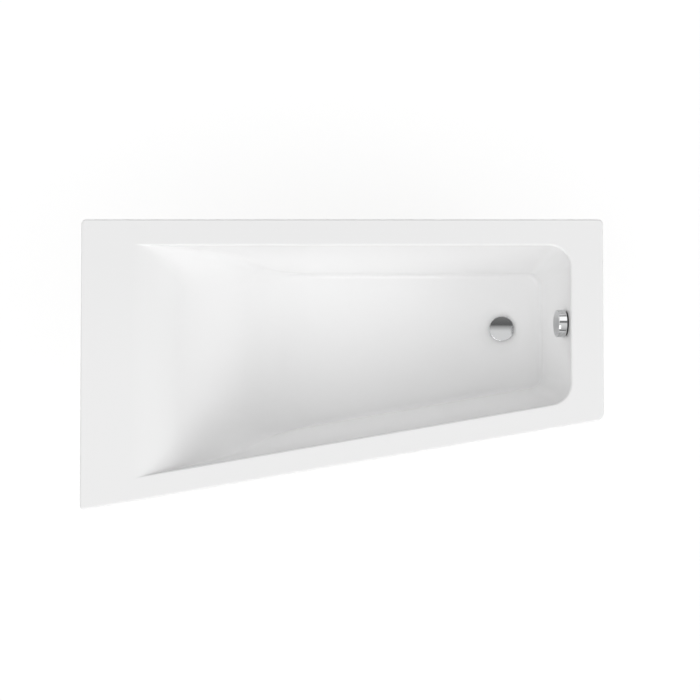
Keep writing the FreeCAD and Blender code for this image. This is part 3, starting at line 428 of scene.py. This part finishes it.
def ease(share):
    """A rise from 0 to 1 that is level at both ends."""
    return share ** 2 * (3 - 2 * share)


def shell_rings():
    """Loops from the drain hole up the basin, over the rim and lip, and back under to the hole."""
    floor = basin_ring(BASIN_DEPTH, 0)
    rings = [drain_loop(floor, WASTE_HOLE, SEAT_Z)]
    for share in np.linspace(0, 1, DISH_RINGS + 1):
        radius = DISH_FLAT + (DISH_RADIUS - DISH_FLAT) * share
        rings.append(drain_loop(floor, radius, SEAT_Z + DISH_DEPTH * ease(share)))
    rings += between(rings[-1], floor, FLOOR_SHARES)
    rings += [basin_ring(depth, 0) for depth in reversed(ring_depths(0))]
    rings += between(rings[-1], rim_loop(LIP_EDGE, RIM_HEIGHT), RIM_SHARES)
    for turn in np.linspace(0, math.pi / 2, EDGE_RINGS):
        inset, drop = LIP_EDGE * (1 - math.sin(turn)), LIP_EDGE * (1 - math.cos(turn))
        rings.append(rim_loop(inset, RIM_HEIGHT - drop))
    lip_z = RIM_HEIGHT - LIP_DROP
    under_z = RIM_HEIGHT - WALL
    rings += [rim_loop(0, lip_z + LIP_FOOT), rim_loop(LIP_NICK, lip_z + LIP_NICK)]
    rings += [rim_loop(LIP_FOOT, lip_z)]
    shown = len(rings)
    rings += [rim_loop(WALL - LIP_NICK, lip_z), rim_loop(WALL, lip_z + LIP_NICK)]
    rings += [rim_loop(WALL, under_z - LIP_NICK), rim_loop(WALL + LIP_NICK, under_z)]
    rings += between(rings[-1], basin_ring(WALL, WALL), UNDER_RIM_SHARES)
    rings += [basin_ring(depth, WALL) for depth in ring_depths(WALL)]
    dish_edge = drain_loop(rings[-1], DISH_RADIUS, FLOOR_Z - WALL)
    rings += between(rings[-1], dish_edge, UNDER_FLOOR_SHARES)
    seat = [drain_loop(dish_edge, radius, SEAT_Z - WALL) for radius in (SEAT_RADIUS, WASTE_HOLE)]
    return rings + [dish_edge] + seat, shown


def foot_wall_place():
    """The overflow's place: Z square to the foot wall into the basin, X down the wall."""
    lean = math.radians(FOOT_DRAFT)
    down = Vector((-math.sin(lean), 0, -math.cos(lean)))
    inward = Vector((-math.cos(lean), 0, math.sin(lean)))
    across = inward.cross(down)
    run = wall_run(OVERFLOW_DEPTH, 0, RIM_ROLL, FOOT_DRAFT, FLOOR_FILLET)
    origin = Vector((LENGTH / 2 - RIM_FOOT - run, DRAIN_Y, RIM_HEIGHT - OVERFLOW_DEPTH))
    turn = Matrix((down, across, inward)).transposed().to_4x4()
    return Matrix.Translation(origin) @ turn


def tub_shell(materials):
    """The moulded sheet: acrylic where it shows, laminate behind, and a hole for the overflow."""
    rings, shown = shell_rings()
    count = len(rings[0])
    obj = add_mesh("tub_moulding", np.concatenate(rings), band_faces(count, len(rings), closed=True))
    obj.data.materials.append(materials["acrylic"])
    obj.data.materials.append(materials["laminate"])
    sides = np.zeros(len(obj.data.polygons), dtype=np.int32)
    sides[shown * count:] = 1
    obj.data.polygons.foreach_set("material_index", sides)
    reach = 2 * WALL
    hole = [(0, -reach), (OVERFLOW_HOLE, -reach), (OVERFLOW_HOLE, reach), (0, reach)]
    cut(obj, turned("overflow_cutter", hole, foot_wall_place()))
    smooth(obj)
    return obj


# Shader nodes

def feed(tree, socket, value):
    """Gives a socket a link from an output, or a plain value."""
    if isinstance(value, bpy.types.NodeSocket):
        tree.links.new(value, socket)
    else:
        socket.default_value = value


def add_node(tree, kind, inputs):
    """A node whose inputs, by name or number, take outputs or plain values."""
    node = tree.nodes.new(kind)
    for key, value in inputs.items():
        feed(tree, node.inputs[key], value)
    return node


def maths(tree, operation, *values):
    """The result of a maths node for outputs or plain numbers."""
    node = add_node(tree, "ShaderNodeMath", dict(enumerate(values)))
    node.operation = operation
    return node.outputs[0]


def ramp(tree, value, stops):
    """The colour that (place, colour) stops give for a value. A new ramp has two stops of its own."""
    node = add_node(tree, "ShaderNodeValToRGB", {"Fac": value})
    elements = node.color_ramp.elements
    for index, (place, color) in enumerate(stops):
        element = elements[index] if index < 2 else elements.new(place)
        element.position = place
        element.color = (*color, 1.0)
    return node.outputs["Color"]


def grey(level):
    return (level, level, level, 1.0)


# Materials

class Paint:
    """A material with its shader and short ways to add procedural detail."""

    def __init__(self, name, color, rough, metallic=0.0):
        self.mat = bpy.data.materials.new(name)
        self.mat.use_nodes = True
        self.tree = self.mat.node_tree
        self.sockets = self.tree.nodes["Principled BSDF"].inputs
        self.coords = self.tree.nodes.new("ShaderNodeTexCoord").outputs["Object"]
        self.set("Base Color", (*color, 1.0))
        self.set("Roughness", rough)
        self.set("Metallic", metallic)

    def set(self, socket, value):
        feed(self.tree, self.sockets[socket], value)

    def stretched(self, scale, turn=(0, 0, 0)):
        """Coordinates scaled along the axes and turned by degrees."""
        inputs = {"Vector": self.coords, "Scale": scale, "Rotation": [math.radians(a) for a in turn]}
        return add_node(self.tree, "ShaderNodeMapping", inputs).outputs["Vector"]

    def noise(self, scale, detail, coords=None, rough=0.5):
        inputs = {"Vector": coords or self.coords, "Scale": scale, "Detail": detail, "Roughness": rough}
        return add_node(self.tree, "ShaderNodeTexNoise", inputs).outputs["Fac"]

    def cells(self, scale, coords=None):
        """Irregular cells, each with its own level of grey."""
        inputs = {"Vector": coords or self.coords, "Scale": scale}
        color = add_node(self.tree, "ShaderNodeTexVoronoi", inputs).outputs["Color"]
        return add_node(self.tree, "ShaderNodeRGBToBW", {"Color": color}).outputs["Val"]

    def shades(self, value, *stops):
        """Base colour by (place, colour) stops of a value."""
        self.set("Base Color", ramp(self.tree, value, stops))

    def tints(self, value, color, factors):
        """Base colour that goes from a darker to a paler tint with a value."""
        tinted = [tuple(min(c * factor, 1.0) for c in color) for factor in factors]
        self.shades(value, *zip(TINT_PLACES, tinted))

    def roughness(self, value, start, end):
        """Roughness that goes from start to end as a value goes from 0 to 1."""
        inputs = {"Value": value, "To Min": start, "To Max": end}
        self.set("Roughness", add_node(self.tree, "ShaderNodeMapRange", inputs).outputs["Result"])

    def bump(self, height, distance, strength):
        """Bumps on top of those that are there already."""
        inputs = {"Height": height, "Distance": distance, "Strength": strength}
        if self.sockets["Normal"].is_linked:
            inputs["Normal"] = self.sockets["Normal"].links[0].from_socket
        self.set("Normal", add_node(self.tree, "ShaderNodeBump", inputs).outputs["Normal"])


def acrylic():
    paint = Paint("acrylic", ACRYLIC, rough=0.12)
    paint.set("IOR", ACRYLIC_IOR)
    paint.bump(paint.noise(scale=45.0, detail=2.0), distance=0.00004, strength=0.25)
    return paint.mat


def laminate():
    """Glass fibre in resin, rolled on behind the acrylic."""
    paint = Paint("fibre_laminate", LAMINATE, rough=0.45)
    along = paint.stretched(scale=(1.0, 9.0, 3.0), turn=(20, 35, 50))
    across = paint.stretched(scale=(9.0, 1.0, 4.0), turn=(-30, 15, 25))
    strands = [paint.noise(scale=90.0, detail=6.0, coords=coords, rough=0.7) for coords in (along, across)]
    fibres = maths(paint.tree, "MAXIMUM", *strands)
    paint.shades(fibres, (0.35, LAMINATE_DARK), (0.75, LAMINATE_PALE))
    paint.roughness(fibres, start=0.55, end=0.3)
    paint.bump(fibres, distance=0.0008, strength=0.6)
    paint.bump(paint.noise(scale=14.0, detail=3.0), distance=0.002, strength=0.3)
    return paint.mat


def chrome(name, low, high):
    """Chrome whose roughness varies between the two levels."""
    paint = Paint(name, CHROME, rough=(low + high) / 2, metallic=1.0)
    paint.roughness(paint.noise(scale=160.0, detail=4.0), low, high)
    return paint.mat


def chipboard():
    paint = Paint("chipboard", CHIPBOARD, rough=0.75)
    chips = paint.cells(scale=260.0, coords=paint.stretched(scale=(1.0, 1.4, 3.0), turn=(0, 0, 25)))
    paint.shades(chips, (0.15, CHIPBOARD_DARK), (0.85, CHIPBOARD_PALE), (0.5, CHIPBOARD_MIDDLE))
    paint.bump(chips, distance=0.0004, strength=0.5)
    return paint.mat


def softwood(name, scale):
    """Sawn softwood with its grain along the axis that is scaled least."""
    paint = Paint(name, SOFTWOOD, rough=0.62)
    grain = paint.noise(scale=26.0, detail=7.0, coords=paint.stretched(scale), rough=0.62)
    paint.shades(grain, (0.3, SOFTWOOD_DARK), (0.72, SOFTWOOD_PALE), (0.5, SOFTWOOD_MIDDLE))
    paint.roughness(grain, start=0.72, end=0.55)
    paint.bump(grain, distance=0.0006, strength=0.5)
    return paint.mat


def galvanised():
    paint = Paint("galvanised_steel", GALVANISED, rough=0.42, metallic=1.0)
    spangle = paint.cells(scale=85.0)
    paint.shades(spangle, (0.1, GALVANISED_DARK), (0.9, GALVANISED_PALE))
    paint.roughness(spangle, start=0.5, end=0.32)
    paint.bump(paint.noise(scale=120.0, detail=4.0), distance=0.0002, strength=0.25)
    return paint.mat


def metal(name, color, rough):
    paint = Paint(name, color, rough, metallic=1.0)
    spots = paint.noise(scale=240.0, detail=4.0)
    paint.tints(spots, color, METAL_TINTS)
    paint.roughness(spots, *(rough * factor for factor in METAL_ROUGH))
    return paint.mat


def plastic(name, color, rough, grain, depth):
    paint = Paint(name, color, rough)
    paint.tints(paint.noise(scale=30.0, detail=3.0), color, PLASTIC_TINTS)
    paint.bump(paint.noise(grain, detail=2.0), distance=depth, strength=0.4)
    return paint.mat


def make_materials():
    materials = {
        "acrylic": acrylic(),
        "laminate": laminate(),
        "chrome": chrome("chrome", low=0.04, high=0.085),
        "satin_chrome": chrome("satin_chrome", low=0.28, high=0.36),
        "chipboard": chipboard(),
        "batten_along": softwood("softwood_along", scale=(0.06, 1.0, 1.6)),
        "batten_across": softwood("softwood_across", scale=(1.0, 0.06, 1.6)),
        "galvanised_steel": galvanised(),
    }
    for name, values in METALS.items():
        materials[name] = metal(name, *values)
    for name, values in PLASTICS.items():
        materials[name] = plastic(name, *values)
    return materials


# Which finish each CAD node has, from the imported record
FINISHES = {part["node"]: part["material_slot"] for part in frame["record"]["subparts"]}


def dress_nodes(materials):
    """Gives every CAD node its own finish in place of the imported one."""
    for name, obj in frame["nodes"].items():
        slot = FINISHES[name]
        key = slot
        if slot == "batten_wood":
            key = "batten_across" if name.endswith(("head", "foot")) else "batten_along"
        obj.data.materials.clear()
        obj.data.materials.append(materials[key])


# Pieces in place of CAD nodes

def stand_in(obj, node, body, material):
    obj.data.materials.append(material)
    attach(obj, body)
    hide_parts(node)


def plug_dome(materials):
    """The polished cover: a shallow dome with a rounded shoulder."""
    low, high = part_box("plug_cover")
    slope = math.radians(COVER_SLOPE)
    shoulder_turns = np.linspace(math.pi / 2, slope, SHOULDER_POINTS)
    shoulder = profile_arc(COVER_RADIUS - COVER_SHOULDER, low.z + COVER_EDGE, COVER_SHOULDER, shoulder_turns)
    sphere = shoulder[-1][0] / math.sin(slope)
    centre = shoulder[-1][1] - sphere * math.cos(slope)
    dome = profile_arc(0, centre, sphere, np.linspace(slope, 0, DOME_POINTS)[1:])
    border, recess = COVER_RADIUS - COVER_BORDER, low.z + COVER_RECESS
    under = [(0, recess), (border, recess), (border, low.z), (COVER_RADIUS, low.z), shoulder[0]]
    under = rounded(under, (FINE_ROUND, FINE_ROUND, COVER_EDGE_ROUND))
    middle = (low + high) / 2
    place = Matrix.Translation((middle.x, middle.y, 0))
    obj = turned("plug_dome", under[:-1] + shoulder + dome, place)
    stand_in(obj, "plug_cover", "plug", materials["chrome"])


def knob_cap(materials):
    """The turning knob: a hollow cap with a satin front, softened edges and a boss for the spindle."""
    front, rim = KNOB_GAP + KNOB_LENGTH, KNOB_RADIUS - KNOB_WALL
    face = front - KNOB_WALL
    boss = face - KNOB_BOSS_LENGTH
    profile = [
        (0, front), (KNOB_RADIUS - KNOB_TAPER, front), (KNOB_RADIUS, KNOB_GAP), (rim, KNOB_GAP),
        (rim - KNOB_TAPER, face), (KNOB_BOSS_RADIUS, face), (KNOB_BOSS_RADIUS, boss),
        (SPINDLE_RADIUS, boss), (SPINDLE_RADIUS, face), (0, face),
    ]
    outer = (KNOB_ROUND, KNOB_EDGE_ROUND, KNOB_EDGE_ROUND)
    inner = (KNOB_INNER_ROUND, KNOB_INNER_ROUND, FINE_ROUND, 0, 0)
    place = foot_wall_place()
    obj = turned("knob_cap", rounded(profile, outer + inner), place)
    stand_in(obj, "overflow_knob", "knob", materials["chrome"])
    obj.data.materials.append(materials["satin_chrome"])
    axis = place.to_3x3().col[2]
    for polygon in obj.data.polygons:
        polygon.material_index = int(polygon.normal.dot(axis) > FRONT_FACING)


def threaded_rod(node, body, materials):
    """A rod with a real thread: one helical ridge, chamfered at the rod's upper end."""
    low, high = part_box(node)
    axis = ((low.x + high.x) / 2, (low.y + high.y) / 2)
    radius = (high.x - low.x) / 2
    tip = radius * (1 - ROD_CHAMFER)
    angles = np.linspace(0, 2 * math.pi, THREAD_POINTS, endpoint=False)
    levels = int((high.z - low.z) / THREAD_PITCH * THREAD_LEVELS)
    rings = [level_ring(0, angles, low.z, axis)]
    for z in np.linspace(low.z, high.z, levels):
        wave = (z / THREAD_PITCH - angles / (2 * math.pi)) % 1.0
        thread = radius - THREAD_DEPTH * np.abs(wave * 2 - 1)
        rings.append(level_ring(np.minimum(thread, tip + high.z - z), angles, z, axis))
    rings.append(level_ring(0, angles, high.z, axis))
    name = node.replace("foot_rod", "threaded_rod")
    obj = add_mesh(name, np.concatenate(rings), band_faces(THREAD_POINTS, len(rings)))
    weld(obj)
    stand_in(obj, node, body, materials["zinc_steel"])


# Studio

def seen_rays(tree):
    """1 for rays that show a thing itself: from the camera, or by way of a mirror or a clear thing."""
    path = tree.nodes.new("ShaderNodeLightPath").outputs
    direct = maths(tree, "MAXIMUM", path["Is Camera Ray"], path["Is Glossy Ray"])
    return maths(tree, "MAXIMUM", direct, path["Is Transmission Ray"])


def studio_world():
    """Soft light from all round the tub; what is seen behind it, or in its metal, is plain white."""
    world = bpy.data.worlds.new("studio")
    bpy.context.scene.world = world
    world.use_nodes = True
    tree = world.node_tree
    tree.nodes.clear()
    direction = tree.nodes.new("ShaderNodeTexCoord").outputs["Generated"]
    total = 0.0
    for azimuth, elevation, strength in SOFTBOXES:
        turn, rise = math.radians(azimuth), math.radians(elevation)
        aim = (math.cos(turn) * math.cos(rise), math.sin(turn) * math.cos(rise), math.sin(rise))
        dot = add_node(tree, "ShaderNodeVectorMath", {0: direction, 1: aim})
        dot.operation = "DOT_PRODUCT"
        facing = maths(tree, "MAXIMUM", dot.outputs["Value"], 0.0)
        soft = maths(tree, "POWER", facing, SOFT_POWER)
        total = maths(tree, "MULTIPLY_ADD", soft, strength, total)
    level = add_node(tree, "ShaderNodeMix", {"Factor": seen_rays(tree), "A": total, "B": WHITE})
    back = add_node(tree, "ShaderNodeBackground", {"Color": grey(WHITE), "Strength": level.outputs["Result"]})
    add_node(tree, "ShaderNodeOutputWorld", {"Surface": back.outputs["Background"]})


def plane(name, left, right, near, far, z):
    """A level rectangle of the studio."""
    corners = [(left, near, z), (right, near, z), (right, far, z), (left, far, z)]
    obj = add_mesh(name, corners, [(0, 1, 2, 3)])
    return obj


def bare_material(obj):
    """The empty node tree of a new material that a studio piece takes."""
    mat = bpy.data.materials.new(obj.name)
    mat.use_nodes = True
    mat.node_tree.nodes.clear()
    obj.data.materials.append(mat)
    return mat.node_tree


def studio_floor():
    """A pale floor with the tub's soft shadow on it.

    The white behind it shows through, and so does a foot that is let down below it. From below it is
    open.
    """
    half = FLOOR_SIZE / 2
    tree = bare_material(plane("studio_floor", -half, half, -half, half, -FLOOR_DROP))
    shade = add_node(tree, "ShaderNodeBsdfDiffuse", {"Color": grey(FLOOR_SHADE)})
    clear = add_node(tree, "ShaderNodeBsdfTransparent", {"Color": grey(FLOOR_CLEAR)})
    veil = add_node(tree, "ShaderNodeAddShader", {0: shade.outputs[0], 1: clear.outputs[0]})
    plain = add_node(tree, "ShaderNodeBsdfDiffuse", {"Color": grey(FLOOR_PALE)})
    above = {"Fac": seen_rays(tree), 1: plain.outputs[0], 2: veil.outputs[0]}
    seen = add_node(tree, "ShaderNodeMixShader", above)
    backface = tree.nodes.new("ShaderNodeNewGeometry").outputs["Backfacing"]
    opening = tree.nodes.new("ShaderNodeBsdfTransparent").outputs[0]
    sides = add_node(tree, "ShaderNodeMixShader", {"Fac": backface, 1: seen.outputs[0], 2: opening})
    add_node(tree, "ShaderNodeOutputMaterial", {"Surface": sides.outputs[0]})


def studio_card(name, left, right, height, levels):
    """A graded card overhead that only mirrors see."""
    near, far = levels[0][0], levels[-1][0]
    obj = plane(name, left, right, near, far, height)
    tree = bare_material(obj)
    coords = tree.nodes.new("ShaderNodeTexCoord").outputs["Object"]
    place = add_node(tree, "ShaderNodeSeparateXYZ", {"Vector": coords})
    reach = {"Value": place.outputs["Y"], "From Min": near, "From Max": far}
    share = add_node(tree, "ShaderNodeMapRange", reach).outputs["Result"]
    stops = [((y - near) / (far - near), (level,) * 3) for y, level in levels]
    glow = add_node(tree, "ShaderNodeEmission", {"Color": ramp(tree, share, stops)})
    add_node(tree, "ShaderNodeOutputMaterial", {"Surface": glow.outputs["Emission"]})
    obj.visible_camera = False
    obj.visible_diffuse = False
    obj.visible_transmission = False
    obj.visible_shadow = False


def studio_camera():
    data = bpy.data.cameras.new("camera")
    data.lens = LENS
    data.sensor_width = SENSOR
    data.clip_end = CAMERA_CLIP
    camera = bpy.data.objects.new("camera", data)
    bpy.context.scene.collection.objects.link(camera)
    camera.location = CAMERA_PLACE
    camera.rotation_euler = (math.radians(CAMERA_TILT), 0, 0)
    bpy.context.scene.camera = camera


bpy.context.scene.view_settings.view_transform = "Standard"
studio_camera()
studio_world()
studio_floor()
for name, card in CARDS.items():
    studio_card(name, *card)

materials = make_materials()
dress_nodes(materials)
shell = tub_shell(materials)
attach(shell, "tub")
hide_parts("tub_shell")
plug_dome(materials)
knob_cap(materials)
for end in ("head", "foot"):
    for side in ("front", "back"):
        threaded_rod("foot_rod_%s_%s" % (end, side), "foot_%s_%s" % (end, side), materials)
